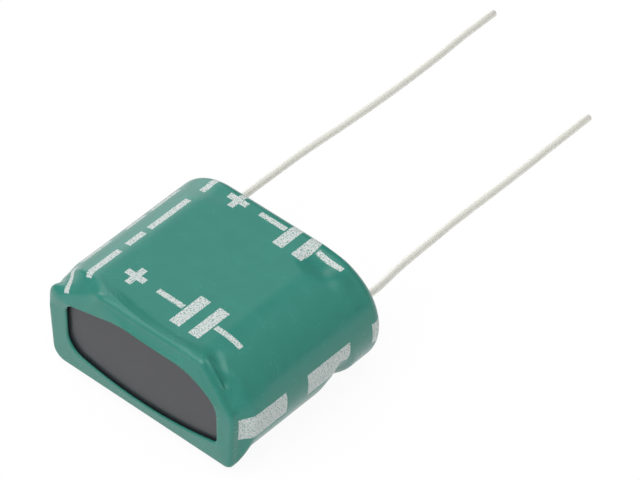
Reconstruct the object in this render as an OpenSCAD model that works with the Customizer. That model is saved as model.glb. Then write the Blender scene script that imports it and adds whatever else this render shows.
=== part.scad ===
// Two-cell supercapacitor pack with radial leads, lying on its broad flat side.
// X runs across the pack, +Y points to the leads, +Z is up. All sizes are in millimetres.

/* [Pack] */
// Length of the sleeved body, lip to lip
pack_l = 13.4; // [11:0.1:20]
// Gap between the two cells
cell_gap = 0.46; // [0.2:0.02:1]
// Space between the cells and the lead plate, for the link wires
link_space = 1.25; // [1.1:0.05:1.6]

/* [Cells] */
// Diameter of a bare can
can_d = 8; // [7:0.1:11]
// Wall of a can at its mouth
can_wall = 0.25; // [0.15:0.05:0.4]
// Rounding of a can's drawn base
can_base_r = 1.3; // [1.2:0.1:1.8]
// Depth of the mouth that takes the stopper
mouth_depth = 3.3; // [3.1:0.1:4]
// Width of the rim that is curled in over the stopper
curl_w = 0.6; // [0.3:0.05:1]
// Rounding of the curled rim
curl_r = 0.4; // [0.3:0.05:0.5]
// Distance from the rim to the middle of the crimped bead
bead_back = 1.7; // [1.65:0.05:2]
// Depth of the crimped bead
bead_depth = 0.72; // [0.3:0.02:0.84]
// Radius of the tool that rolled the bead
bead_r = 1.4; // [1:0.05:1.65]
// Film of each cell's own sleeve
cell_film = 0.1; // [0.05:0.01:0.15]
// How far a cell's sleeve laps over its ends
cell_lap = 0.85; // [0.6:0.05:1.2]

/* [Leads] */
// Diameter of the tinned wire
lead_d = 0.5; // [0.4:0.05:0.7]
// Spacing of the two leads of one cell
lead_pitch = 3.5; // [3:0.1:4]
// Length of the positive lead outside the sleeve
positive_l = 28; // [24:0.5:40]
// Length of the negative lead outside the sleeve
negative_l = 24; // [20:0.5:40]
// Straight length of each lead where it leaves the sleeve
lead_root = 2; // [1:0.5:3]
// Straight end of a lead, which goes into a board
lead_tip = 2; // [1:0.5:3]
// Diameter of the studs through the stoppers
boss_d = 1; // [0.8:0.1:1.4]
// How far a stud stands out of its stopper
boss_proud = 0.1; // [0.05:0.05:0.2]
// Bend radius of the link wires, at their middle
link_bend = 0.45; // [0.35:0.05:0.5]
// How far each link wire runs past the middle of the pack
link_lap = 1.4; // [0.8:0.1:2]

/* [Plates] */
// Thickness of the two insulating plates
plate_t = 0.5; // [0.4:0.05:0.6]

/* [Sleeve] */
// Thickness of the shrunk film
film_t = 0.15; // [0.1:0.01:0.2]
// Rounding of the sleeve's front edge
front_edge_r = 0.35; // [0.25:0.05:0.45]
// Rounding of the sleeve's rear edge
rear_edge_r = 0.8; // [0.5:0.05:1]
// Length over which the squared front rim runs out into the round body
runout = 1.3; // [1:0.1:1.6]
// How far the front rim is drawn in at each side
rim_in = 0.55; // [0.3:0.05:0.7]
// How far the front rim's lower edge is lifted
rim_lift = 0.6; // [0.1:0.05:0.7]
// How far the front rim's left side is drawn in further
rim_left_in = 0.1; // [0:0.02:0.15]
// How far the ridge stands over the flat top
ridge_rise = 0.15; // [0:0.05:0.4]
// Distance of the right ear from the side
right_ear = 3.25; // [2.4:0.05:3.8]
// Distance of the left ear from the side
left_ear = 5.4; // [4:0.05:6.2]
// Height lost from the ridge to the right haunch
right_haunch = 3.4; // [2.5:0.05:3.95]
// Height lost from the ridge to the left haunch
left_haunch = 2.5; // [2:0.05:2.9]
// Rounding of the right ear
right_ear_r = 0.5; // [0.3:0.05:0.8]
// Rounding of the left ear
left_ear_r = 2; // [0.5:0.1:2.5]
// Rounding of the right haunch
right_haunch_r = 1.8; // [1:0.1:2.4]
// Rounding of the left haunch
left_haunch_r = 1.2; // [0.8:0.1:2]
// Rounding of the front rim's lower left corner
foot_left_r = 1.1; // [0.8:0.1:2]
// Rounding of the front rim's lower right corner
foot_right_r = 0.6; // [0.5:0.1:1.5]
// How far the lower left corner is drawn in from the side
foot_left_in = 0.25; // [0:0.05:0.4]
// How far the lower right corner is drawn in from the side
foot_right_in = 0.4; // [0:0.05:0.5]
// How far the lower right corner is lifted over the left
foot_right_lift = 0.1; // [0:0.05:0.2]

/* [Windows] */
// Width of the front lip at the left
lip_left = 1.92; // [1.3:0.02:2.22]
// Width of the front lip at the right
lip_right = 1.38; // [1.2:0.02:2]
// Width of the front lip along the bottom
lip_bottom = 1.92; // [1.6:0.02:2.22]
// Width of the front lip along the top
lip_top = 0.97; // [0.8:0.02:1.6]
// Rounding of the window's lower left corner
sill_left_r = 1.2; // [0.6:0.1:1.6]
// Rounding of the window's lower right corner
sill_right_r = 0.4; // [0.2:0.05:0.8]
// How far the window's sill rises to the right
sill_rise = 0.15; // [0:0.05:0.55]
// How far the window's sill bows down in its middle
sill_bow = 0.9; // [0:0.05:1.05]
// Width of the slope at the left of the window's arch
arch_left_run = 4.95; // [2.5:0.05:5.7]
// Height of that slope
arch_left_drop = 1.45; // [1:0.05:2.2]
// Width of the slope at the right of the window's arch
arch_right_run = 1.8; // [1.6:0.1:2.6]
// Height of that slope
arch_right_drop = 1.85; // [1.6:0.05:2.4]
// Rounding of the arch at the left
arch_left_r = 6; // [2:0.5:8]
// Rounding of the arch at the right
arch_right_r = 3.8; // [1:0.1:4.4]
// Rounding where the arch starts at the left
spring_left_r = 1.1; // [0.3:0.1:1.5]
// Rounding where the arch starts at the right
spring_right_r = 2.3; // [1:0.1:2.7]
// How far the top of the window falls to the right
head_fall = 0.11; // [0:0.01:0.2]
// How far the front lip flares out at the window
lip_out = 0.08; // [0:0.01:0.2]
// How much further it flares out over the window
head_out = 0.24; // [0:0.02:0.3]
// Height over which that flare grows
head_rise = 2.5; // [1.5:0.1:3]
// Gap between the root of the front lip and the base plate
front_gap = 0.03; // [0.02:0.01:0.1]
// Gap between the rear lip and the lead plate
rear_gap = 0.35; // [0.2:0.05:0.45]
// Width of the rear lip
rear_lip = 1.9; // [1.2:0.05:2.2]

/* [Puckers] */
// Depth to which the film is drawn into the bead of the right can
bead_dent = 0.58; // [0.1:0.02:0.66]
// Depth to which the film dips behind the rim of the right can
end_dent = 0.24; // [0:0.02:0.28]
// Share of those depths at the left can
left_share = 0.45; // [0:0.05:1]
// Depth to which the film sags at the right shoulder by the lead plate
rear_dent = 0.12; // [0:0.01:0.15]
// Depth to which the ridge sags in its middle
ridge_sag = 0.1; // [0:0.01:0.12]

/* [Fits] */
// Clearance between a can and its own sleeve
cell_fit = 0.02; // [0.01:0.01:0.05]
// Clearance between the cells' sleeves and the outer sleeve
sleeve_fit = 0.05; // [0.03:0.01:0.1]
// Clearance around the base plate inside the sleeve
plate_fit = 0.2; // [0.18:0.01:0.3]
// Clearance around the lead plate inside the sleeve
lead_plate_fit = 0.42; // [0.4:0.01:0.5]
// Clearance along the length between a plate and what stands behind it
seat_fit = 0.03; // [0.01:0.01:0.1]
// Clearance between a stopper and its can
stopper_fit = 0.02; // [0.01:0.01:0.05]
// Clearance of a lead in the lead plate
lead_fit = 0.1; // [0.05:0.01:0.2]
// Clearance between the two welded link wires
weld_fit = 0.01; // [0.005:0.005:0.03]

/* [Hidden] */
$fn = 64;

// Section of the pack
cell_d = can_d + 2 * (cell_fit + cell_film);
cell_pitch = cell_d + cell_gap;
pack_t = cell_d + 2 * (sleeve_fit + film_t);
pack_w = cell_pitch + pack_t;
mid_z = pack_t / 2;
octant = tan(22.5);

// Stations along the length, from the front lip to the rear lip
front_y = -pack_l / 2;
rear_y = pack_l / 2;
base_plate_y = front_y + film_t + front_gap;
can_y = base_plate_y + plate_t + seat_fit + cell_film + cell_fit;
lead_plate_y = rear_y - film_t - rear_gap - plate_t;
rim_y = lead_plate_y - link_space;
can_l = rim_y - can_y;

// Inside of a can's mouth, measured from the can's base
mouth_r = can_d / 2 - can_wall;
floor_y = can_l - mouth_depth;
stopper_top = can_l - can_wall - stopper_fit;
boss_top = stopper_top + boss_proud;
bead_y = can_l - bead_back;
bead_x = can_d / 2 + bead_r - bead_depth;

// Link wires cross the rims just clear of the cells' sleeves
link_y = can_l + cell_fit + cell_film + seat_fit + lead_d / 2;
link_reach = (cell_pitch - lead_pitch) / 2;
link_tilt = asin((lead_d + weld_fit) / (2 * link_reach));

// Sideways sway of each lead, at equal steps from its straight root to its straight end
positive_sway = [0, 0, 0.04, 0.23, 0.36, 0.41, 0.36, 0.23];
negative_sway = [0, -0.22, -0.3, -0.36, -0.33, -0.29, -0.3, -0.31];

// Corners of an outline are [x, z, rounding], counter-clockwise from the lower left, seen from the
// front: two feet, the right haunch and ear, the left ear and haunch.
body_corners = [
    [-pack_w / 2, 0, mid_z],
    [pack_w / 2, 0, mid_z],
    [pack_w / 2, mid_z * (1 + octant), mid_z],
    [cell_pitch / 2 + mid_z * octant, pack_t, mid_z],
    [-cell_pitch / 2 - mid_z * octant, pack_t, mid_z],
    [-pack_w / 2, mid_z * (1 + octant), mid_z]];

rim_x = pack_w / 2 - rim_in;
rim_left = rim_left_in - rim_x;
ridge_z = pack_t + ridge_rise;
rim_corners = [
    [rim_left + foot_left_in, rim_lift, foot_left_r],
    [rim_x - foot_right_in, rim_lift + foot_right_lift, foot_right_r],
    [rim_x, ridge_z - right_haunch, right_haunch_r],
    [pack_w / 2 - right_ear, ridge_z, right_ear_r],
    [left_ear - pack_w / 2, ridge_z, left_ear_r],
    [rim_left, ridge_z - left_haunch, left_haunch_r]];

// The front window is an arch over a bowed sill, sharp at the lower right, lower at the left
sill_z = rim_lift + lip_bottom;
head_z = ridge_z - lip_top;
right_head_z = head_z - head_fall;
window_left = -rim_x + lip_left;
window_right = rim_x - lip_right;
window_mid = (window_left + window_right) / 2;
window_half = (window_right - window_left) / 2;
window_corners = [
    [window_left, sill_z, sill_left_r],
    [window_right, sill_z + sill_rise, sill_right_r],
    [window_right, right_head_z - arch_right_drop, spring_right_r],
    [window_right - arch_right_run, right_head_z, arch_right_r],
    [window_left + arch_left_run, head_z, arch_left_r],
    [window_left, head_z - arch_left_drop, spring_left_r]];

// The rear window is a plain slot with round ends
rear_corners = inset(body_corners, rear_lip);

// Dents in the film: [x, y, z, reach along, reach around, depth]
bead_station = can_y + bead_y;
bead_reach = 0.92 * sqrt(bead_r * bead_r - pow(bead_r - bead_depth, 2));
bead_draw = min(bead_dent, bead_depth - sleeve_fit);
end_reach = link_space + sleeve_fit;
end_gap_y = rim_y - curl_r + end_reach - 0.1;
flank_x = cell_pitch / 2 + mid_z * cos(35);
flank_z = mid_z * (1 - sin(35));
dents = [
    [flank_x, bead_station, flank_z, bead_reach, mid_z * 0.75, bead_draw],
    [-flank_x, bead_station, flank_z, bead_reach, mid_z * 0.75, bead_draw * left_share],
    [cell_pitch / 2 + 0.7, end_gap_y, pack_t, end_reach, mid_z * 0.65, end_dent],
    [-cell_pitch / 2 - 0.9, end_gap_y, pack_t, end_reach, mid_z * 0.6, end_dent * left_share],
    [cell_pitch / 2 + 1.65, rear_y - 0.4, pack_t - 0.35, 1.3, mid_z * 0.7, rear_dent],
    [1, front_y + 0.25, ridge_z, 1.7, mid_z, ridge_sag]];

// Facets of a lead, which is a little slimmer than its round end
wire_sides = 12;
wire_steps = 14;
swept_d = 0.98 * lead_d;

// Facets of the sleeve: steps round each corner, and along the side that follows it
corner_steps = [9, 9, 5, 5, 5, 5];
side_steps = [4, 2, 2, 6, 2, 2];
lip_steps = 3;
edge_steps = 4;
runout_steps = 6;

// Unit vector
function unit(v) = v / norm(v);
// Left-hand normal of a direction, which points into a counter-clockwise outline
function left_of(d) = [-d[1], d[0]];
// Mix of two lists or numbers
function mix(a, b, s) = a * (1 - s) + b * s;
// Eased step from 0 to 1
function eased(s) = s * s * (3 - 2 * s);
function corner(c, i) = c[(i + len(c)) % len(c)];
function spot(c, i) = [corner(c, i)[0], corner(c, i)[1]];
function heading(c, i) = unit(spot(c, i + 1) - spot(c, i));

// Outline moved in by a distance, with its roundings reduced to suit
function inset(c, by) = [
    for (i = [0 : len(c) - 1])
        let (n0 = left_of(heading(c, i - 1)),
             n1 = left_of(heading(c, i)),
             p = spot(c, i) + by * (n0 + n1) / (1 + n0 * n1))
        [p[0], p[1], max(c[i][2] - by, 0.05)]];

// Points of one rounded corner
function arc_points(c, i) =
    let (d0 = heading(c, i - 1),
         d1 = heading(c, i),
         turn = acos(d0 * d1),
         r = c[i][2],
         start = spot(c, i) - d0 * r * tan(turn / 2),
         middle = start + left_of(d0) * r,
         a0 = atan2(-left_of(d0)[1], -left_of(d0)[0]))
    [for (k = [0 : corner_steps[i]])
        let (a = a0 + turn * k / corner_steps[i])
        middle + r * [cos(a), sin(a)]];

// Points of a whole outline, always the same number whatever its shape
function outline(c) =
    let (arcs = [for (i = [0 : len(c) - 1]) arc_points(c, i)])
    [for (i = [0 : len(c) - 1])
        let (from = arcs[i][corner_steps[i]],
             to = arcs[(i + 1) % len(c)][0])
        each concat(arcs[i], [for (k = [1 : side_steps[i] - 1]) mix(from, to, k / side_steps[i])])];

// Stations of the film, at a depth under its outer face: [corners, y, share of the sill's bow]
body_start = front_y + front_edge_r + runout;
body_end = rear_y - rear_edge_r;
edge_margin = 0.05;
body_stations = [
    mix(body_start, bead_station - bead_reach, 0.5),
    for (k = [-1 : 0.4 : 1]) bead_station + bead_reach * k,
    for (k = [0 : 5]) mix(rim_y - curl_r, min(lead_plate_y, body_end - edge_margin), k / 5)];

function film(depth) = concat(
    [for (k = [0 : lip_steps - 1])
        let (s = k / lip_steps)
        [mix(window_corners, inset(rim_corners, front_edge_r), s),
         front_y + depth - lip_out * (1 - s), 1 - s]],
    [for (k = [0 : edge_steps])
        let (a = 90 * k / edge_steps,
             r = front_edge_r - depth)
        [inset(rim_corners, depth + r * (1 - sin(a))), front_y + depth + r * (1 - cos(a)), 0]],
    [for (k = [1 : runout_steps])
        let (s = k / runout_steps)
        [inset(mix(rim_corners, body_corners, eased(s)), depth),
         mix(front_y + front_edge_r, body_start, s), 0]],
    [for (y = body_stations) [inset(body_corners, depth), y, 0]],
    [for (k = [0 : edge_steps])
        let (a = 90 * k / edge_steps,
             r = rear_edge_r - depth)
        [inset(body_corners, depth + r * (1 - cos(a))), body_end + r * sin(a), 0]],
    [for (k = [1 : lip_steps])
        [mix(inset(body_corners, rear_edge_r), rear_corners, k / lip_steps), rear_y - depth, 0]]);

// How far the film is drawn in at a point
function dent_depth(p) = [for (q = dents)
    let (along = (p[1] - q[1]) / q[3],
         around = norm([p[0] - q[0], p[2] - q[2]]) / q[4],
         s = along * along + around * around)
    s < 1 ? q[5] * pow(1 - s, 2) : 0] * [for (q = dents) 1];

// A point drawn in towards the middle line of the nearer cell
function dented(p) =
    let (core = [min(max(p[0], -cell_pitch / 2), cell_pitch / 2), p[1], mid_z])
    p - unit(p - core) * dent_depth(p);

// How far a point of the front lip flares out further than the lip round it
function flare_at(p) = head_out * eased(min(max((p[1] - head_z) / head_rise + 1, 0), 1));

// How far a point of the front lip is drawn down with the bowed sill
function bow_at(p) =
    p[1] < mid_z ? sill_bow * max(0, 1 - pow((p[0] - window_mid) / window_half, 2)) : 0;

function ring(station) = [for (p = outline(station[0]))
    dented([p[0], station[1] - station[2] * flare_at(p), p[1] - station[2] * bow_at(p)])];

// Triangles between rings that follow each other, for a number of bands
function tube_faces(bands, ring_count, around) = [
    for (i = [0 : bands - 1], j = [0 : around - 1])
        let (i1 = (i + 1) % ring_count,
             j1 = (j + 1) % around,
             a = i * around + j,
             b = i * around + j1,
             c = i1 * around + j1,
             d = i1 * around + j)
        each [[a, b, c], [a, c, d]]];

// Closed skin through a loop of rings
module skin(rings) {
    count = len(rings);
    polyhedron([for (r = rings) each r], tube_faces(count, count, len(rings[0])));
}

// Local +Z becomes the pack's +Y, at the middle line of the left (-1) or right (1) cell
module at_cell(side, y) {
    translate([side * cell_pitch / 2, y, mid_z])
        rotate([-90, 0, 0])
            children();
}

module outer_sleeve() {
    outer = film(0);
    inner = film(film_t);
    count = len(outer);
    color("#4b8f82")
        skin(concat([for (s = outer) ring(s)],
                    [for (k = [1 : count]) ring(inner[count - k])]));
}

// Flat plate that fills the sleeve behind a lip, as thick as its board
module plate(y) {
    translate([0, y + plate_t, 0])
        rotate([90, 0, 0])
            linear_extrude(plate_t)
                children();
}

// Outline of a plate inside the film, drawn in by its fit and where the film already turns inwards
module plate_outline(corners, fit) {
    polygon(outline(inset(corners, film_t + fit)));
}

// How far the inside of an edge rounding has turned in, at a distance past its start
function tuck(edge_r, past) =
    let (r = edge_r - film_t,
         t = min(max(past / r, 0), 1))
    r * (1 - sqrt(1 - t * t));

// The base plate fits both the rim in front of it and the narrower runout behind it
module base_plate() {
    past_rim = base_plate_y + plate_t - front_y - front_edge_r;
    behind = eased(min(max(past_rim / runout, 0), 1));
    color("#5e5f61")
        plate(base_plate_y)
            intersection() {
                plate_outline(rim_corners,
                              plate_fit + tuck(front_edge_r, front_y + front_edge_r - base_plate_y));
                plate_outline(mix(rim_corners, body_corners, behind), plate_fit);
            }
}

module lead_plate() {
    color("#5e5f61")
        difference() {
            plate(lead_plate_y)
                plate_outline(body_corners,
                              lead_plate_fit + tuck(rear_edge_r, lead_plate_y + plate_t - body_end));
            for (side = [-1, 1])
                at_cell(side, lead_plate_y)
                    translate([side * lead_pitch / 2, 0, -plate_t])
                        cylinder(d = lead_d + 2 * lead_fit, h = 3 * plate_t);
        }
}

// Outer profile of a can with a rounded base, grown by a distance: x is the radius
module can_shape(grow) {
    r = can_d / 2 + grow;
    base_r = can_base_r + grow;
    translate([0, base_r - grow])
        square([r, can_l - can_base_r - curl_r]);
    translate([0, -grow])
        square([r - base_r, can_l + 2 * grow]);
    translate([r - base_r, can_base_r])
        circle(base_r);
    translate([0, can_l - curl_r])
        square([r - curl_r - grow, curl_r + grow]);
    translate([r - curl_r - grow, can_l - curl_r])
        circle(curl_r + grow);
}

module bead(grow) {
    translate([bead_x, bead_y])
        circle(bead_r + grow);
}

module can() {
    mouth_h = mouth_depth - can_wall;
    color("#c8cacc")
        rotate_extrude()
            difference() {
                can_shape(0);
                bead(0);
                difference() {
                    translate([0, floor_y])
                        square([mouth_r, mouth_h]);
                    bead(can_wall);
                }
                translate([0, floor_y])
                    square([mouth_r - curl_w, 2 * mouth_depth]);
            }
}

module stopper() {
    color("#262626")
        difference() {
            rotate_extrude()
                difference() {
                    translate([0, floor_y + stopper_fit])
                        square([mouth_r - stopper_fit, stopper_top - floor_y - stopper_fit]);
                    bead(can_wall + stopper_fit);
                }
            for (side = [-1, 1])
                translate([side * lead_pitch / 2, 0, floor_y - mouth_depth])
                    cylinder(d = boss_d + 2 * stopper_fit, h = 3 * mouth_depth);
        }
}

// A cell's own film: laps over both ends and dips into the bead
module cell_sleeve() {
    color("#1d1f22")
        rotate_extrude()
            difference() {
                union() {
                    difference() {
                        can_shape(cell_fit + cell_film);
                        can_shape(cell_fit);
                        translate([0, -can_l])
                            square([can_d / 2 - cell_lap, 3 * can_l]);
                    }
                    intersection() {
                        bead(-cell_fit);
                        square([can_d / 2 + cell_fit + cell_film, can_l]);
                    }
                }
                bead(-cell_fit - cell_film);
            }
}

module boss(side) {
    color("#b9bcc0")
        translate([side * lead_pitch / 2, 0, floor_y + stopper_fit])
            cylinder(d = boss_d, h = boss_top - floor_y - stopper_fit);
}

// Quarter bend of wire that starts along +Z and ends along +X
module wire_bend(r) {
    translate([r, 0, 0])
        rotate([90, 0, 180])
            rotate_extrude(angle = 90)
                translate([r, 0])
                    circle(d = lead_d);
}

// Sway at a share of the way along a lead, level at both ends
function sway_at(sway, s) =
    let (last = len(sway) - 1,
         i = min(floor(s * last), last - 1),
         t = s * last - i,
         p0 = sway[i == 0 ? 1 : i - 1],
         p1 = sway[i],
         p2 = sway[i + 1],
         p3 = sway[i + 2 > last ? last - 1 : i + 2])
    p1 + 0.5 * t * (p2 - p0 + t * (2 * p0 - 5 * p1 + 4 * p2 - p3 + t * (3 * (p1 - p2) + p3 - p0)));

// Wire that starts straight, sways between two heights and goes on straight from there
module swaying_wire(sway, start, from, to, end) {
    swing = [for (k = [0 : wire_steps]) [mix(from, to, k / wire_steps), sway_at(sway, k / wire_steps)]];
    stations = concat([[start, sway_at(sway, 0)]], swing, [[end, sway_at(sway, 1)]]);
    last = len(stations) - 1;
    points = [for (q = stations, j = [0 : wire_sides - 1])
        let (a = 360 * j / wire_sides)
        [swept_d / 2 * cos(a) + q[1], swept_d / 2 * sin(a), q[0]]];
    ends = [[for (j = [0 : wire_sides - 1]) j],
            [for (j = [1 : wire_sides]) len(points) - j]];
    polyhedron(points, concat(tube_faces(last, last + 1, wire_sides), ends));
}

// Outer lead of a cell, from its stud to its cut end, true round and straight at that end
module outer_lead(side, length, sway) {
    rear = rear_y - can_y;
    tip_from = rear + length - lead_tip;
    color("#c9c7bd")
        translate([side * lead_pitch / 2, 0, 0]) {
            swaying_wire(sway, boss_top, rear + lead_root, tip_from - lead_d, tip_from + lead_tip / 2);
            translate([sway_at(sway, 1), 0, tip_from])
                cylinder(d = lead_d, h = lead_tip);
        }
}

// Inner lead, bent over towards the other cell: it passes that cell's lead side by side
module link_lead(side) {
    bend_y = link_y - link_bend;
    color("#c9c7bd")
        translate([-side * lead_pitch / 2, 0, boss_top]) {
            cylinder(d = lead_d, h = bend_y - boss_top);
            translate([0, 0, bend_y - boss_top])
                rotate([0, 0, side < 0 ? -link_tilt : 180 - link_tilt]) {
                    wire_bend(link_bend);
                    translate([link_bend, 0, link_bend])
                        rotate([0, 90, 0])
                            cylinder(d = lead_d, h = link_reach + link_lap - link_bend);
                }
        }
}

module cell_a_can() at_cell(-1, can_y) can();
module cell_b_can() at_cell(1, can_y) can();
module cell_a_stopper() at_cell(-1, can_y) stopper();
module cell_b_stopper() at_cell(1, can_y) stopper();
module cell_a_sleeve() at_cell(-1, can_y) cell_sleeve();
module cell_b_sleeve() at_cell(1, can_y) cell_sleeve();
module positive_boss() at_cell(-1, can_y) boss(-1);
module negative_boss() at_cell(1, can_y) boss(1);
module cell_a_link_boss() at_cell(-1, can_y) boss(1);
module cell_b_link_boss() at_cell(1, can_y) boss(-1);
module cell_a_link_lead() at_cell(-1, can_y) link_lead(-1);
module cell_b_link_lead() at_cell(1, can_y) link_lead(1);

module positive_lead() at_cell(-1, can_y) outer_lead(-1, positive_l, positive_sway);
module negative_lead() at_cell(1, can_y) outer_lead(1, negative_l, negative_sway);

outer_sleeve();
base_plate();
lead_plate();
cell_a_can();
cell_b_can();
cell_a_stopper();
cell_b_stopper();
cell_a_sleeve();
cell_b_sleeve();
positive_boss();
negative_boss();
cell_a_link_boss();
cell_b_link_boss();
positive_lead();
negative_lead();
cell_a_link_lead();
cell_b_link_lead();
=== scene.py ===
import math

import bpy
import numpy as np
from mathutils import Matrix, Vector


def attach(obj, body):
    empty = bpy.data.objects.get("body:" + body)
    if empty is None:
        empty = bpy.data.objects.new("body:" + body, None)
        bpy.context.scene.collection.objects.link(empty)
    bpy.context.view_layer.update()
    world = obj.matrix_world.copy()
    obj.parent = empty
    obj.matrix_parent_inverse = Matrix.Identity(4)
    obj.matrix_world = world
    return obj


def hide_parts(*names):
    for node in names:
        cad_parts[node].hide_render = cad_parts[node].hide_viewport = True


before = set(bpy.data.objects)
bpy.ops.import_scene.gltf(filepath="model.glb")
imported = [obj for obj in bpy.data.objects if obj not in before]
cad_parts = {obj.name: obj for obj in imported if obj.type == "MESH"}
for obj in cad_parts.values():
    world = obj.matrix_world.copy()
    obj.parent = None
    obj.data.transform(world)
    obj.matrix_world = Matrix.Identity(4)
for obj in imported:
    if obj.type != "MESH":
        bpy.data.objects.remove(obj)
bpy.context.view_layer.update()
mm = 0.001

bpy.context.scene.view_settings.view_transform = "Standard"

# Helpers for meshes and node trees


def toMesh(name, vertices, faces):
    mesh = bpy.data.meshes.new(name)
    mesh.from_pydata([tuple(v) for v in vertices], [], faces)
    mesh.update()
    piece = bpy.data.objects.new(name, mesh)
    bpy.context.scene.collection.objects.link(piece)
    return piece


def addNode(tree, kind, **settings):
    node = tree.nodes.new(kind)
    for name, value in settings.items():
        setattr(node, name, value)
    return node


def mathNode(tree, operation, a, b=None):
    node = addNode(tree, "ShaderNodeMath", operation=operation)
    for socket, value in zip(node.inputs, (a, b)):
        if isinstance(value, (int, float)):
            socket.default_value = value
        elif value is not None:
            tree.links.new(value, socket)
    return node.outputs[0]


def noiseNode(tree, vector, scale, detail=2.0, rough=0.5, output="Fac"):
    node = addNode(tree, "ShaderNodeTexNoise")
    node.inputs["Scale"].default_value = scale
    node.inputs["Detail"].default_value = detail
    node.inputs["Roughness"].default_value = rough
    tree.links.new(vector, node.inputs["Vector"])
    return node.outputs[output]


# Value from one span to another, clamped
def rangeNode(tree, value, fromSpan, toSpan=(0.0, 1.0), smooth=False):
    node = addNode(tree, "ShaderNodeMapRange", interpolation_type="SMOOTHSTEP" if smooth else "LINEAR")
    tree.links.new(value, node.inputs["Value"])
    for name, limit in zip(("From Min", "From Max", "To Min", "To Max"), (*fromSpan, *toSpan)):
        node.inputs[name].default_value = limit
    return node.outputs["Result"]


def mixColor(tree, factor, a, b):
    node = addNode(tree, "ShaderNodeMix", data_type="RGBA")
    tree.links.new(factor, node.inputs["Factor"])
    for socket, value in ((node.inputs[6], a), (node.inputs[7], b)):
        if isinstance(value, tuple):
            socket.default_value = (*value, 1)
        else:
            tree.links.new(value, socket)
    return node.outputs[2]


def bumpNode(tree, height, distance, strength=1.0, normal=None):
    node = addNode(tree, "ShaderNodeBump")
    node.inputs["Strength"].default_value = strength
    node.inputs["Distance"].default_value = distance
    tree.links.new(height, node.inputs["Height"])
    if normal is not None:
        tree.links.new(normal, node.inputs["Normal"])
    return node.outputs["Normal"]


def objectPlace(tree):
    return addNode(tree, "ShaderNodeTexCoord").outputs["Object"]


def newFinish(name):
    finish = bpy.data.materials.new(name)
    finish.use_nodes = True
    tree = finish.node_tree
    return finish, tree, tree.nodes["Principled BSDF"]


drift = {"colorSpan": (0.35, 0.65), "roughSpan": (0.3, 0.7)}      # of a noise


# Colour and roughness drift with a noise, each between the two of a pair
def driftColor(tree, cloud, colors):
    return mixColor(tree, rangeNode(tree, cloud, drift["colorSpan"]), *colors)


def driftRoughness(tree, cloud, pair):
    return rangeNode(tree, cloud, drift["roughSpan"], pair)


# Camera, floor and light

camera = {
    "lens": 225.0,
    "sensor": 36.0,
    "clip": (0.01, 10.0),             # m
    "target": (0.179, 10.059, 4.0),   # mm
    "azimuth": 41.974,                # degrees, 0 looks along +Y
    "elevation": 43.5,
    "distance": 258.99,               # mm
}

studio = {
    "floorSize": 4.0,                 # m
    "floorColor": (0.86, 0.86, 0.86, 1),
    "floorGlow": 0.94,                # share of plain white that the camera sees
    "skyLow": 0.18,                   # light from every side
    "skyLobes": [                     # brightest side, cosines between which it falls off, strength
        ((0.0, -0.43, 0.90), (0.50, 0.97), 2.5),        # overhead
        ((-0.72, 0.38, 0.58), (0.90, 0.945), 0.72),     # panel on the left
        ((-0.84, 0.48, 0.26), (0.91, 0.995), 1.9),      # its bright foot
        ((0.60, 0.40, 0.69), (0.6, 0.95), 0.3),         # dim fill on the right
    ],
    "topPower": 0.34,                 # W, a round softbox
    "topSize": 0.2,                   # m
    "topAt": (0.01, -0.19, 0.46),
}


def makeCamera():
    az = math.radians(camera["azimuth"])
    el = math.radians(camera["elevation"])
    target = Vector(camera["target"]) * mm
    back = Vector((math.sin(az) * math.cos(el), -math.cos(az) * math.cos(el), math.sin(el)))
    data = bpy.data.cameras.new("photoCamera")
    data.lens = camera["lens"]
    data.sensor_width = camera["sensor"]
    data.clip_start, data.clip_end = camera["clip"]
    cam = bpy.data.objects.new("photoCamera", data)
    cam.location = target + back * camera["distance"] * mm
    cam.rotation_mode = "QUATERNION"
    cam.rotation_quaternion = (-back).to_track_quat("-Z", "Y")
    bpy.context.scene.collection.objects.link(cam)
    bpy.context.scene.camera = cam


# One for the kinds of ray that see plain white
def seenWhite(tree):
    ray = addNode(tree, "ShaderNodeLightPath").outputs
    direct = mathNode(tree, "MAXIMUM", ray["Is Camera Ray"], ray["Is Glossy Ray"])
    return mathNode(tree, "MAXIMUM", direct, ray["Is Transmission Ray"])


def makeFloor():
    half = studio["floorSize"] / 2
    corners = [(-half, -half, 0), (half, -half, 0), (half, half, 0), (-half, half, 0)]
    floor = toMesh("floor", corners, [(0, 1, 2, 3)])
    paper = bpy.data.materials.new("floorPaper")
    paper.use_nodes = True
    tree = paper.node_tree
    tree.nodes.clear()
    matt = addNode(tree, "ShaderNodeBsdfDiffuse")
    matt.inputs["Color"].default_value = studio["floorColor"]
    white = addNode(tree, "ShaderNodeEmission")
    mix = addNode(tree, "ShaderNodeMixShader")
    out = addNode(tree, "ShaderNodeOutputMaterial")
    tree.links.new(mathNode(tree, "MULTIPLY", seenWhite(tree), studio["floorGlow"]), mix.inputs["Fac"])
    tree.links.new(matt.outputs[0], mix.inputs[1])
    tree.links.new(white.outputs[0], mix.inputs[2])
    tree.links.new(mix.outputs[0], out.inputs["Surface"])
    floor.data.materials.append(paper)


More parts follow.
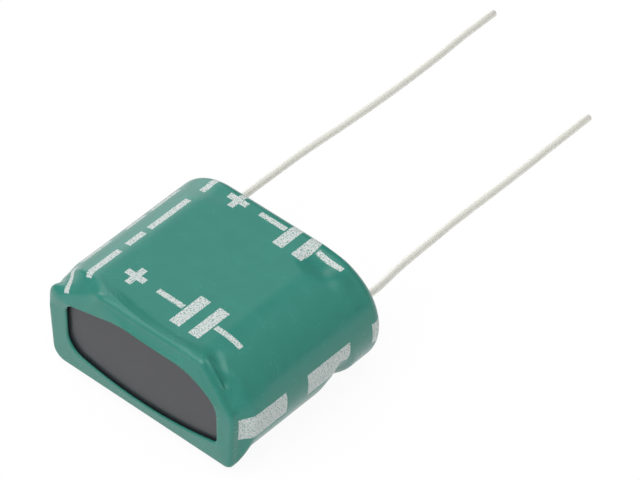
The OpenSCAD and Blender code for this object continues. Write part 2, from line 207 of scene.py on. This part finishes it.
# Soft light from overhead, the left and the right, each falling off smoothly
def makeWorld():
    world = bpy.data.worlds.new("softbox")
    bpy.context.scene.world = world
    world.use_nodes = True
    tree = world.node_tree
    tree.nodes.clear()
    place = addNode(tree, "ShaderNodeTexCoord").outputs["Generated"]
    total = studio["skyLow"]
    for toward, edge, strength in studio["skyLobes"]:
        facing = addNode(tree, "ShaderNodeVectorMath", operation="DOT_PRODUCT")
        facing.inputs[1].default_value = Vector(toward).normalized()
        tree.links.new(place, facing.inputs[0])
        level = rangeNode(tree, facing.outputs["Value"], edge, (0.0, strength), smooth=True)
        total = mathNode(tree, "ADD", level, total)
    sky = addNode(tree, "ShaderNodeBackground")
    out = addNode(tree, "ShaderNodeOutputWorld")
    tree.links.new(total, sky.inputs["Strength"])
    tree.links.new(sky.outputs[0], out.inputs["Surface"])


def makeTopLamp():
    data = bpy.data.lights.new("topLamp", "AREA")
    data.energy = studio["topPower"]
    data.shape = "DISK"
    data.size = studio["topSize"]
    lamp = bpy.data.objects.new("topLamp", data)
    lamp.location = studio["topAt"]
    lamp.rotation_mode = "QUATERNION"
    lamp.rotation_quaternion = (-lamp.location).to_track_quat("-Z", "Y")
    bpy.context.scene.collection.objects.link(lamp)


makeCamera()
makeFloor()
makeWorld()
makeTopLamp()
print("stage: camera, floor and light")

# Shrunk sleeve: the same outlines as the solid, in finer steps

sleeve = {                            # mm
    "length": 13.4,
    "pitch": 8.7,                     # middle line of one cell to the other
    "thick": 8.64,
    "film": 0.15,
    "frontEdge": 0.35,
    "rearEdge": 0.8,
    "runout": 1.3,
    "rimIn": 0.55,
    "rimLift": 0.6,
    "rimLeftIn": 0.1,
    "ridgeRise": 0.15,
    "rightEar": 3.25,
    "leftEar": 5.4,
    "rightHaunch": 3.4,
    "leftHaunch": 2.5,
    "rightEarRound": 0.5,
    "leftEarRound": 2.0,
    "rightHaunchRound": 1.8,
    "leftHaunchRound": 1.2,
    "leftFootRound": 1.1,
    "rightFootRound": 0.6,
    "leftFootIn": 0.25,
    "rightFootIn": 0.4,
    "rightFootLift": 0.1,
    "lipOut": 0.08,
    "headOut": 0.24,
    "headRise": 2.5,
    "lipLeft": 1.92,
    "lipRight": 1.38,
    "lipBottom": 1.92,
    "lipTop": 0.97,
    "headFall": 0.11,
    "leftSillRound": 1.2,
    "rightSillRound": 0.4,
    "sillRise": 0.15,
    "sillBow": 0.9,
    "leftArch": (4.95, 1.45, 6.0),    # run, drop, rounding
    "rightArch": (1.8, 1.85, 3.8),
    "leftSpringRound": 1.1,
    "rightSpringRound": 2.3,
    "rearLip": 1.9,
    "leastRound": 0.05,
    "cornerPoints": 40,
    "quarter": 112,                   # points round each quarter of the film
    "lipSteps": 8,
    "edgeSteps": 10,
    "runoutSteps": 26,
    "bodySteps": 72,
    "innerShare": 0.25,               # steps of the inside, which hardly shows
}

halfPitch = sleeve["pitch"] / 2
halfThick = sleeve["thick"] / 2
halfWidth = halfPitch + halfThick
frontY = -sleeve["length"] / 2
rearY = sleeve["length"] / 2
octant = math.tan(math.radians(22.5))


# Corners are x, z and rounding, counter-clockwise from the lower left, seen from the front
def bodyCorners():
    r = halfThick
    return np.array([
        (-halfWidth, 0, r),
        (halfWidth, 0, r),
        (halfWidth, r * (1 + octant), r),
        (halfPitch + r * octant, 2 * r, r),
        (-halfPitch - r * octant, 2 * r, r),
        (-halfWidth, r * (1 + octant), r)])


def rimCorners():
    s = sleeve
    x = halfWidth - s["rimIn"]
    left = s["rimLeftIn"] - x
    ridge = s["thick"] + s["ridgeRise"]
    return np.array([
        (left + s["leftFootIn"], s["rimLift"], s["leftFootRound"]),
        (x - s["rightFootIn"], s["rimLift"] + s["rightFootLift"], s["rightFootRound"]),
        (x, ridge - s["rightHaunch"], s["rightHaunchRound"]),
        (halfWidth - s["rightEar"], ridge, s["rightEarRound"]),
        (s["leftEar"] - halfWidth, ridge, s["leftEarRound"]),
        (left, ridge - s["leftHaunch"], s["leftHaunchRound"])])


def windowCorners():
    s = sleeve
    x = halfWidth - s["rimIn"]
    left = s["lipLeft"] - x
    right = x - s["lipRight"]
    sill = s["rimLift"] + s["lipBottom"]
    head = s["thick"] + s["ridgeRise"] - s["lipTop"]
    return np.array([
        (left, sill, s["leftSillRound"]),
        (right, sill + s["sillRise"], s["rightSillRound"]),
        (right, head - s["headFall"] - s["rightArch"][1], s["rightSpringRound"]),
        (right - s["rightArch"][0], head - s["headFall"], s["rightArch"][2]),
        (left + s["leftArch"][0], head, s["leftArch"][2]),
        (left, head - s["leftArch"][1], s["leftSpringRound"])])


def headings(corners):
    step = np.roll(corners[:, :2], -1, 0) - corners[:, :2]
    return step / np.linalg.norm(step, axis=1)[:, None]


def leftOf(d):
    return np.stack([-d[..., 1], d[..., 0]], -1)


def inset(corners, by):
    after = leftOf(headings(corners))
    before = np.roll(after, 1, 0)
    shift = by * (before + after) / (1 + (before * after).sum(1))[:, None]
    return np.column_stack([corners[:, :2] + shift, np.maximum(corners[:, 2] - by, sleeve["leastRound"])])


def distances(points):
    return np.concatenate([[0], np.cumsum(np.linalg.norm(np.diff(points, axis=0), axis=1))])


# Rounded outline, started at the bottom middle and spread evenly over each quarter
def outline(corners):
    d1 = headings(corners)
    d0 = np.roll(d1, 1, 0)
    arcs = []
    for i, (x, z, r) in enumerate(corners):
        turn = math.acos(float(np.clip(d0[i] @ d1[i], -1, 1)))
        inward = leftOf(d0[i])
        middle = np.array((x, z)) - d0[i] * r * math.tan(turn / 2) + inward * r
        a = math.atan2(-inward[1], -inward[0]) + np.linspace(0, turn, sleeve["cornerPoints"])
        arcs.append(middle + r * np.stack([np.cos(a), np.sin(a)], 1))
    bottom = np.array([(0.0, (arcs[0][-1, 1] + arcs[1][0, 1]) / 2)])
    line = np.concatenate([bottom, *arcs[1:], arcs[0], bottom])
    far = distances(line)
    middle = len(np.concatenate(arcs[1:4]))          # the top's middle lies after the right ear
    marks = [0, crossing(line[:, 1], far, halfThick, 0), crossing(-line[:, 0], far, 0, middle),
             crossing(-line[:, 1], far, -halfThick, middle + 1), far[-1]]
    n = sleeve["quarter"]
    spread = np.concatenate([np.linspace(marks[k], marks[k + 1], n, endpoint=False) for k in range(4)])
    return np.stack([np.interp(spread, far, line[:, 0]), np.interp(spread, far, line[:, 1])], 1)


# Distance along a line at which a rising value passes a level, from a point on
def crossing(values, far, level, start):
    for i in range(start, len(values) - 1):
        if values[i] <= level < values[i + 1]:
            t = (level - values[i]) / (values[i + 1] - values[i])
            return far[i] + t * (far[i + 1] - far[i])
    return far[-1]


def eased(s):
    return s * s * (3 - 2 * s)


# The lip flares out over the window, and the window's sill bows down in its middle
def placeRing(corners, y, share):
    line = outline(corners)
    window = windowCorners()
    left, right = window[0, 0], window[1, 0]
    off = (line[:, 0] - (left + right) / 2) / ((right - left) / 2)
    head = sleeve["thick"] + sleeve["ridgeRise"] - sleeve["lipTop"]
    flare = sleeve["headOut"] * eased(np.clip((line[:, 1] - head) / sleeve["headRise"] + 1, 0, 1))
    sag = np.where(line[:, 1] < halfThick, sleeve["sillBow"] * np.clip(1 - off ** 2, 0, 1), 0)
    return np.stack([line[:, 0], y - share * flare, line[:, 1] - share * sag], 1)


# Rings of the film at a depth under its outer face, from the front lip to the rear one
def filmRings(depth, share):
    s = sleeve
    lipSteps, edgeSteps, runoutSteps, bodySteps = [
        max(2, round(s[k] * share)) for k in ("lipSteps", "edgeSteps", "runoutSteps", "bodySteps")]
    body, rim, window = bodyCorners(), rimCorners(), windowCorners()
    rings = []
    for t in np.linspace(0, 1, lipSteps, endpoint=False):
        lip = window * (1 - t) + inset(rim, s["frontEdge"]) * t
        rings.append((lip, frontY + depth - s["lipOut"] * (1 - t), 1 - t))
    r = s["frontEdge"] - depth
    for a in np.linspace(0, math.pi / 2, edgeSteps + 1):
        rings.append((inset(rim, depth + r * (1 - math.sin(a))), frontY + depth + r * (1 - math.cos(a)), 0))
    start = frontY + s["frontEdge"]
    for t in np.linspace(0, 1, runoutSteps + 1)[1:]:
        rings.append((inset(rim * (1 - eased(t)) + body * eased(t), depth), start + s["runout"] * t, 0))
    end = rearY - s["rearEdge"]
    for y in np.linspace(start + s["runout"], end, bodySteps + 1)[1:-1]:
        rings.append((inset(body, depth), y, 0))
    r = s["rearEdge"] - depth
    for a in np.linspace(0, math.pi / 2, edgeSteps + 1):
        rings.append((inset(body, depth + r * (1 - math.cos(a))), end + r * math.sin(a), 0))
    edge, rear = inset(body, s["rearEdge"]), inset(body, s["rearLip"])
    for t in np.linspace(0, 1, lipSteps + 1)[1:]:
        rings.append((edge * (1 - t) + rear * t, rearY - depth, 0))
    return [placeRing(*ring) for ring in rings]


# The rim is softer over the left ear than along the ridge
earSoft = {
    "ringsBefore": 3,                 # of the rim's edge
    "ringsAfter": 18,
    "ringsFade": 4,
    "x": -3.2,                        # mm, softer to the left of this
    "xFade": 1.5,
    "z": 5.0,                         # and above this
    "zFade": 1.0,
    "pull": 0.5,
    "passes": 90,
}


def softenEar(rings):
    s = earSoft
    grid = np.array(rings)
    at = np.arange(len(grid))
    first = sleeve["lipSteps"] - s["ringsBefore"]
    last = sleeve["lipSteps"] + sleeve["edgeSteps"] + s["ringsAfter"]
    along = np.clip(np.minimum(at - first, last - at) / s["ringsFade"], 0, 1)[:, None]
    aside = eased(np.clip((s["x"] - grid[..., 0]) / s["xFade"], 0, 1))
    above = eased(np.clip((grid[..., 2] - s["z"]) / s["zFade"], 0, 1))
    pull = (s["pull"] * along * aside * above)[1:-1, :, None]
    for _ in range(s["passes"]):
        grid[1:-1] += pull * ((grid[:-2] + grid[2:]) / 2 - grid[1:-1])
    return list(grid)


# Where the shrunk film is drawn in or stands out: middle, reach along and round, depth
filmDents = [
    ((1.0, -6.45, 8.79), 1.7, 4.3, 0.10),       # the ridge sags between its ears
    ((7.89, 3.1, 1.84), 1.1, 3.3, 0.46),        # over the cans' beads, low on the sides
    ((7.89, 2.7, 1.84), 1.7, 3.3, 0.22),
    ((-7.89, 2.75, 1.84), 1.1, 3.2, 0.26),
    ((4.8, 5.2, 8.6), 1.75, 1.9, 0.48),         # behind the can's rim, on top
    ((6.3, 4.9, 8.0), 1.0, 1.5, -0.12),         # where the rim shows through
    ((-5.25, 5.25, 8.64), 1.3, 2.6, 0.11),      # behind the other can's rim
    ((6.1, 6.1, 8.2), 1.4, 2.9, 0.10),          # the rear edge
    ((7.75, -5.4, 6.6), 1.9, 2.6, 0.16),        # behind the right ear
    ((-7.9, -6.3, 6.5), 0.9, 1.5, -0.28),       # the left ear stands out
    ((-7.9, -5.2, 6.9), 1.2, 2.6, 0.18),        # and falls away behind
    ((-7.9, -3.0, 6.8), 9.0, 2.8, 0.06),        # the left shoulder
]

earLine = ((5.2, -6.1, 8.75), (6.15, -6.2, 7.95), (6.97, -6.12, 6.96))
creaseLine = ((5.1, -5.3, 8.63), (6.3, -5.76, 7.98), (7.02, -6.0, 6.97))
ridgeLine = ((-3.6, -5.85, 8.76), (-1.87, -6.2, 8.76), (0.2, -6.41, 8.7), (3.06, -6.48, 8.69),
             (4.36, -6.27, 8.77), (5.3, -5.9, 8.75))

# Folds of the front rim: line, half widths at both ends, depth, less than none for a rib
filmFolds = [
    (earLine, (0.26, 0.20), -0.17),
    (creaseLine, (0.7, 0.3), 0.13),
    (ridgeLine, (0.9, 0.7), -0.08),
    (ridgeLine, (0.2, 0.2), -0.035),
]
foldSteps = {"points": 80, "passes": 60, "fade": 0.2}     # share of its length over which a fold fades


# Points along a fold, evenly spread and eased round its bends
def foldPoints(marks):
    marks = np.array(marks)
    far = distances(marks)
    spread = np.linspace(0, far[-1], foldSteps["points"])
    line = np.stack([np.interp(spread, far, marks[:, k]) for k in range(3)], 1)
    for _ in range(foldSteps["passes"]):
        line[1:-1] = (line[:-2] + 2 * line[1:-1] + line[2:]) / 4
    return line


def bend(points):
    depth = np.zeros(len(points))
    for middle, along, around, deep in filmDents:
        off = points - np.array(middle)
        q = (off[:, 1] / along) ** 2 + (off[:, 0] ** 2 + off[:, 2] ** 2) / around ** 2
        depth += np.where(q < 1, deep * (1 - q) ** 2, 0)
    for marks, width, deep in filmFolds:
        line = foldPoints(marks)
        reach = max(width)
        near = ((points > line.min(0) - reach) & (points < line.max(0) + reach)).all(1)
        gap = np.linalg.norm(points[near][:, None] - line[None], axis=2)
        at = gap.argmin(1) / (len(line) - 1)
        q = (gap.min(1) / (width[0] + (width[1] - width[0]) * at)) ** 2
        ends = eased(np.clip(np.minimum(at, 1 - at) / foldSteps["fade"], 0, 1))
        depth[near] += np.where(q < 1, deep * (1 - q) ** 2 * ends, 0)
    core = points.copy()              # middle line of the nearest cell, or of the web between them
    core[:, 0] = np.clip(points[:, 0], -halfPitch, halfPitch)
    core[:, 2] = halfThick
    out = points - core
    out /= np.linalg.norm(out, axis=1)[:, None]
    return points - out * depth[:, None]


# Print map: u runs round the film from the middle of the top, v along the film
def filmMap(outerRings):
    body = outline(bodyCorners())
    around = distances(np.concatenate([body, body[:1]]))
    top = 2 * sleeve["quarter"]
    middle = np.array([r[top] for r in outerRings])
    along = distances(middle)
    flat = int(np.argmin(np.abs(middle[:, 1])))
    return around[top] - around, along - along[flat] + middle[flat][1]


def makeSleeve(finish):
    outer = softenEar(filmRings(0, 1))
    inner = filmRings(sleeve["film"], sleeve["innerShare"])[::-1]
    rings = outer + inner
    count, around = len(rings), len(rings[0])
    points = bend(np.concatenate(rings))
    i, j = np.meshgrid(np.arange(count), np.arange(around), indexing="ij")
    i1, j1 = (i + 1) % count, (j + 1) % around
    corners = [i * around + j, i * around + j1, i1 * around + j1, i1 * around + j]
    piece = toMesh("shrunkSleeve", points * mm, np.stack(corners, -1).reshape(-1, 4).tolist())
    u, v = filmMap(outer)
    v = np.concatenate([v, np.interp([r[0, 1] for r in inner], [r[0, 1] for r in outer], v)])
    loops = np.zeros((count, around, 4, 2))
    loops[:, :, (0, 3), 0] = u[:-1][None, :, None]
    loops[:, :, (1, 2), 0] = u[1:][None, :, None]
    loops[:, :, (0, 1), 1] = v[:, None, None]
    loops[:, :, (2, 3), 1] = np.roll(v, -1)[:, None, None]
    layer = piece.data.uv_layers.new(name="printMap")
    layer.data.foreach_set("uv", loops.ravel())
    piece.data.materials.append(finish)
    piece.data.shade_smooth()
    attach(piece, "root")
    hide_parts("outer_sleeve")
    print("sleeve:", len(points), "points")


filmFinish = {
    "colors": ((0.028, 0.196, 0.154), (0.029, 0.204, 0.161)),
    "roughness": (0.21, 0.29),
    "specular": 0.42,
    "cloudScale": 900,
    "swellScale": 420,
    "swell": 0.012,                   # mm
    "grainScale": 6000,
    "grain": 0.002,
    "grainShare": 0.5,
}

# Print in plain marks, in mm along u and v
ink = {
    "color": (0.575, 0.605, 0.595),
    "dulling": 0.25,                  # added roughness
    "speckleScale": 10.0,
    "speckleSpan": (0.36, 0.50),
    "ragged": 0.05,                   # mm, at the edges
    "raggedScale": 9.0,
    "edge": 0.02,
    "dashes": {"u": 11.2, "width": 1.76, "runs": ((-6.2, -2.4), (-0.45, 3.5), (5.6, 9.7))},
    "signsAt": (-3.7, 5.7),           # v of each pair of signs
    "plus": {"u": -2.9, "half": 0.8, "stroke": 0.24},
    "capacitor": {
        "wires": (0.1, 5.0),
        "wireHalf": (1.1, 0.2),
        "plates": (1.75, 3.35),
        "plateHalf": (0.42, 1.45),
    },
    "bars": [                         # rows of bars: length and gap of each
        {"u": -5.4, "start": -5.6, "half": 0.26, "runs": ((3.0, 0.7), (1.5, 0.5), (3.6, 1.2))},
        {"u": -7.4, "start": -6.6, "half": 0.26, "runs": ((1.8, 0.5), (2.6, 1.4))},
    ],
    "barRepeats": 2,
}


# Marks as u, v, half size in u, half size in v
def printMarks():
    dashes, plus, sign = ink["dashes"], ink["plus"], ink["capacitor"]
    marks = [(dashes["u"], (start + end) / 2, dashes["width"] / 2, (end - start) / 2)
             for start, end in dashes["runs"]]
    for v in ink["signsAt"]:
        marks += [(plus["u"], v, plus["half"], plus["stroke"]), (plus["u"], v, plus["stroke"], plus["half"])]
        marks += [(u, v, *sign["wireHalf"]) for u in sign["wires"]]
        marks += [(u, v, *sign["plateHalf"]) for u in sign["plates"]]
    for row in ink["bars"]:
        v = row["start"]
        for long, gap in row["runs"] * ink["barRepeats"]:
            marks.append((row["u"], v + long / 2, row["half"], long / 2))
            v += long + gap
    return marks


# The map's u and v, shaken a little so that the print's edges are ragged
def raggedMap(tree, uv):
    noise = noiseNode(tree, uv, ink["raggedScale"], 1.0, output="Color")
    centred = addNode(tree, "ShaderNodeVectorMath", operation="SUBTRACT")
    centred.inputs[1].default_value = (0.5, 0.5, 0.5)
    tree.links.new(noise, centred.inputs[0])
    moved = addNode(tree, "ShaderNodeVectorMath", operation="MULTIPLY_ADD")
    moved.inputs[1].default_value = (ink["ragged"],) * 3
    tree.links.new(centred.outputs[0], moved.inputs[0])
    tree.links.new(uv, moved.inputs[2])
    split = addNode(tree, "ShaderNodeSeparateXYZ")
    tree.links.new(moved.outputs[0], split.inputs[0])
    return split.outputs[0], split.outputs[1]


# How far a place on the map lies outside a span
def outside(tree, value, middle, half):
    off = mathNode(tree, "ABSOLUTE", mathNode(tree, "SUBTRACT", value, middle))
    return mathNode(tree, "SUBTRACT", off, half)


def inkCover(tree, uv):
    u, v = raggedMap(tree, uv)
    nearest = None
    for middleU, middleV, halfU, halfV in printMarks():
        far = mathNode(tree, "MAXIMUM", outside(tree, u, middleU, halfU), outside(tree, v, middleV, halfV))
        nearest = far if nearest is None else mathNode(tree, "MINIMUM", nearest, far)
    inside = rangeNode(tree, nearest, (-ink["edge"], ink["edge"]), (1.0, 0.0))
    specks = noiseNode(tree, uv, ink["speckleScale"], 2.0, 0.6)
    return mathNode(tree, "MULTIPLY", inside, rangeNode(tree, specks, ink["speckleSpan"]))


def makeFilmFinish():
    f = filmFinish
    finish, tree, shader = newFinish("shrunkFilm")
    place = objectPlace(tree)
    uv = addNode(tree, "ShaderNodeUVMap", uv_map="printMap").outputs["UV"]
    cloud = noiseNode(tree, place, f["cloudScale"], 3.0)
    inked = inkCover(tree, uv)
    color = mixColor(tree, inked, driftColor(tree, cloud, f["colors"]), ink["color"])
    dulled = mathNode(tree, "MULTIPLY", inked, ink["dulling"])
    rough = mathNode(tree, "ADD", driftRoughness(tree, cloud, f["roughness"]), dulled)
    swell = bumpNode(tree, noiseNode(tree, place, f["swellScale"], 1.0), f["swell"] * mm)
    grain = noiseNode(tree, place, f["grainScale"])
    tree.links.new(color, shader.inputs["Base Color"])
    tree.links.new(rough, shader.inputs["Roughness"])
    tree.links.new(bumpNode(tree, grain, f["grain"] * mm, f["grainShare"], swell), shader.inputs["Normal"])
    shader.inputs["Specular IOR Level"].default_value = f["specular"]
    return finish


makeSleeve(makeFilmFinish())
print("stage: sleeve")

# Leads: wires swept along their sway

leads = {                             # mm
    "diameter": 0.5,
    "sides": 28,
    "startY": 4.28,                   # on the stud
    "rootEnd": 8.7,                   # straight up to here
    "height": 4.32,
    "tip": 2.0,                       # straight again at the tip
    "cutRound": 0.06,
    "swaySteps": 90,
    "cutSteps": 5,
    "positive": {"x": -6.1, "end": 34.7, "sway": (0, 0, 0.04, 0.23, 0.36, 0.41, 0.36, 0.23)},
    "negative": {"x": 6.1, "end": 30.7, "sway": (0, -0.22, -0.3, -0.36, -0.33, -0.29, -0.3, -0.31)},
}


# Smooth curve through the sway's marks, at a share of the way
def swayAt(sway, s):
    last = len(sway) - 1
    i = min(int(s * last), last - 1)
    t = s * last - i
    p0 = sway[1 if i == 0 else i - 1]
    p1, p2 = sway[i], sway[i + 1]
    p3 = sway[last - 1 if i + 2 > last else i + 2]
    return p1 + 0.5 * t * (p2 - p0 + t * (2 * p0 - 5 * p1 + 4 * p2 - p3 + t * (3 * (p1 - p2) + p3 - p0)))


# Points as y, sway and share of the full width
def leadPath(lead):
    end, sway, cut = lead["end"], lead["sway"], leads["cutRound"]
    swingFrom, swingTo = leads["rootEnd"], end - leads["tip"] - leads["diameter"]
    path = [(leads["startY"], 0.0, 1.0)]
    for s in np.linspace(0, 1, leads["swaySteps"]):
        path.append((swingFrom + (swingTo - swingFrom) * s, swayAt(sway, s), 1.0))
    for a in np.linspace(0, math.pi / 2, leads["cutSteps"]):
        width = 1 - cut / (leads["diameter"] / 2) * (1 - math.cos(a))
        path.append((end - cut * (1 - math.sin(a)), sway[-1], width))
    return path


def makeWireTree():
    tree = bpy.data.node_groups.new("sweptWire", "GeometryNodeTree")
    sockets = tree.interface
    sockets.new_socket("Geometry", in_out="INPUT", socket_type="NodeSocketGeometry")
    sockets.new_socket("Radius", in_out="INPUT", socket_type="NodeSocketFloat")
    sockets.new_socket("Sides", in_out="INPUT", socket_type="NodeSocketInt")
    sockets.new_socket("Finish", in_out="INPUT", socket_type="NodeSocketMaterial")
    sockets.new_socket("Geometry", in_out="OUTPUT", socket_type="NodeSocketGeometry")
    source = addNode(tree, "NodeGroupInput")
    ring = addNode(tree, "GeometryNodeCurvePrimitiveCircle")
    width = addNode(tree, "GeometryNodeInputRadius")
    sweep = addNode(tree, "GeometryNodeCurveToMesh")
    sweep.inputs["Fill Caps"].default_value = True
    smooth = addNode(tree, "GeometryNodeSetShadeSmooth")
    real = addNode(tree, "GeometryNodeRealizeInstances")
    paint = addNode(tree, "GeometryNodeSetMaterial")
    out = addNode(tree, "NodeGroupOutput")
    link = tree.links.new
    link(source.outputs["Radius"], ring.inputs["Radius"])
    link(source.outputs["Sides"], ring.inputs["Resolution"])
    link(source.outputs["Geometry"], sweep.inputs["Curve"])
    link(ring.outputs["Curve"], sweep.inputs["Profile Curve"])
    link(width.outputs["Radius"], sweep.inputs["Scale"])
    link(sweep.outputs["Mesh"], smooth.inputs["Geometry"])
    link(smooth.outputs["Geometry"], real.inputs["Geometry"])
    link(real.outputs["Geometry"], paint.inputs["Geometry"])
    link(source.outputs["Finish"], paint.inputs["Material"])
    link(paint.outputs["Geometry"], out.inputs["Geometry"])
    return tree


def setInput(modifier, name, value):
    for item in modifier.node_group.interface.items_tree:
        if item.in_out == "INPUT" and item.name == name:
            modifier[item.identifier] = value


def makeLead(name, node, lead, tree, finish):
    path = leadPath(lead)
    data = bpy.data.curves.new(name + "Path", "CURVE")
    data.dimensions = "3D"
    spline = data.splines.new("POLY")
    spline.points.add(len(path) - 1)
    for point, (y, sway, width) in zip(spline.points, path):
        point.co = ((lead["x"] + sway) * mm, y * mm, leads["height"] * mm, 1)
        point.radius = width
    guide = bpy.data.objects.new(name + "Path", data)
    bpy.context.scene.collection.objects.link(guide)
    modifier = guide.modifiers.new("wire", "NODES")
    modifier.node_group = tree
    setInput(modifier, "Radius", leads["diameter"] / 2 * mm)
    setInput(modifier, "Sides", leads["sides"])
    setInput(modifier, "Finish", finish)
    shape = guide.evaluated_get(bpy.context.evaluated_depsgraph_get())
    mesh = bpy.data.meshes.new_from_object(shape)
    bpy.data.objects.remove(guide)
    piece = bpy.data.objects.new(name, mesh)
    bpy.context.scene.collection.objects.link(piece)
    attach(piece, "root")
    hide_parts(node)


wireFinish = {
    "colors": ((0.74, 0.74, 0.68), (0.77, 0.77, 0.71)),
    "metallic": 0.5,                  # dulled by handling
    "roughness": (0.58, 0.42),
    "cloudScale": 2500,
    "stretch": (1, 0.25, 1),          # longer along the wire
    "bump": 0.002,                    # mm
}


def makeWireFinish():
    w = wireFinish
    finish, tree, shader = newFinish("tinnedWire")
    stretch = addNode(tree, "ShaderNodeMapping")
    stretch.inputs["Scale"].default_value = w["stretch"]
    tree.links.new(objectPlace(tree), stretch.inputs["Vector"])
    cloud = noiseNode(tree, stretch.outputs[0], w["cloudScale"], 3.0, 0.6)
    tree.links.new(driftColor(tree, cloud, w["colors"]), shader.inputs["Base Color"])
    tree.links.new(driftRoughness(tree, cloud, w["roughness"]), shader.inputs["Roughness"])
    tree.links.new(bumpNode(tree, cloud, w["bump"] * mm), shader.inputs["Normal"])
    shader.inputs["Metallic"].default_value = w["metallic"]
    return finish


tinned = makeWireFinish()
wireTree = makeWireTree()
makeLead("positiveLead", "positive_lead", leads["positive"], wireTree, tinned)
makeLead("negativeLead", "negative_lead", leads["negative"], wireTree, tinned)
print("stage: leads")

# Finishes of the solids that stay: plates and the sealed pieces inside

plateFinish = {
    "colors": ((0.027, 0.028, 0.032), (0.030, 0.031, 0.036)),
    "roughness": (0.27, 0.35),
    "cloudScale": 700,
    "grainScale": 5000,
    "grain": 0.002,                   # mm
    "grainShare": 0.4,
}


def makePlateFinish():
    p = plateFinish
    finish, tree, shader = newFinish("plateBoard")
    place = objectPlace(tree)
    cloud = noiseNode(tree, place, p["cloudScale"])
    grain = noiseNode(tree, place, p["grainScale"])
    tree.links.new(driftColor(tree, cloud, p["colors"]), shader.inputs["Base Color"])
    tree.links.new(driftRoughness(tree, cloud, p["roughness"]), shader.inputs["Roughness"])
    tree.links.new(bumpNode(tree, grain, p["grain"] * mm, p["grainShare"]), shader.inputs["Normal"])
    return finish


innerBump = 0.003                     # mm
innerFinishes = {
    "drawnCan": {
        "colors": ((0.70, 0.71, 0.72), (0.78, 0.79, 0.80)),
        "metallic": 1.0,
        "roughness": (0.27, 0.37),
        "cloudScale": 1500,
        "nodes": ("cell_a_can", "cell_b_can"),
    },
    "bareStud": {
        "colors": ((0.62, 0.63, 0.65), (0.72, 0.73, 0.75)),
        "metallic": 1.0,
        "roughness": (0.35, 0.45),
        "cloudScale": 2500,
        "nodes": ("positive_boss", "negative_boss", "cell_a_link_boss", "cell_b_link_boss"),
    },
    "bungRubber": {
        "colors": ((0.015, 0.015, 0.015), (0.022, 0.022, 0.022)),
        "metallic": 0.0,
        "roughness": (0.57, 0.67),
        "cloudScale": 2500,
        "nodes": ("cell_a_stopper", "cell_b_stopper"),
    },
    "cellFilm": {
        "colors": ((0.012, 0.013, 0.014), (0.016, 0.017, 0.019)),
        "metallic": 0.0,
        "roughness": (0.25, 0.35),
        "cloudScale": 1200,
        "nodes": ("cell_a_sleeve", "cell_b_sleeve"),
    },
}


def makeInnerFinish(name, look):
    finish, tree, shader = newFinish(name)
    cloud = noiseNode(tree, objectPlace(tree), look["cloudScale"])
    tree.links.new(driftColor(tree, cloud, look["colors"]), shader.inputs["Base Color"])
    tree.links.new(driftRoughness(tree, cloud, look["roughness"]), shader.inputs["Roughness"])
    tree.links.new(bumpNode(tree, cloud, innerBump * mm), shader.inputs["Normal"])
    shader.inputs["Metallic"].default_value = look["metallic"]
    return finish


def dressNodes(nodes, finish):
    for node in nodes:
        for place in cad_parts[node].material_slots:
            place.material = finish


dressNodes(("base_plate", "lead_plate"), makePlateFinish())
dressNodes(("cell_a_link_lead", "cell_b_link_lead"), tinned)
for name, look in innerFinishes.items():
    dressNodes(look["nodes"], makeInnerFinish(name, look))
print("stage: finishes")
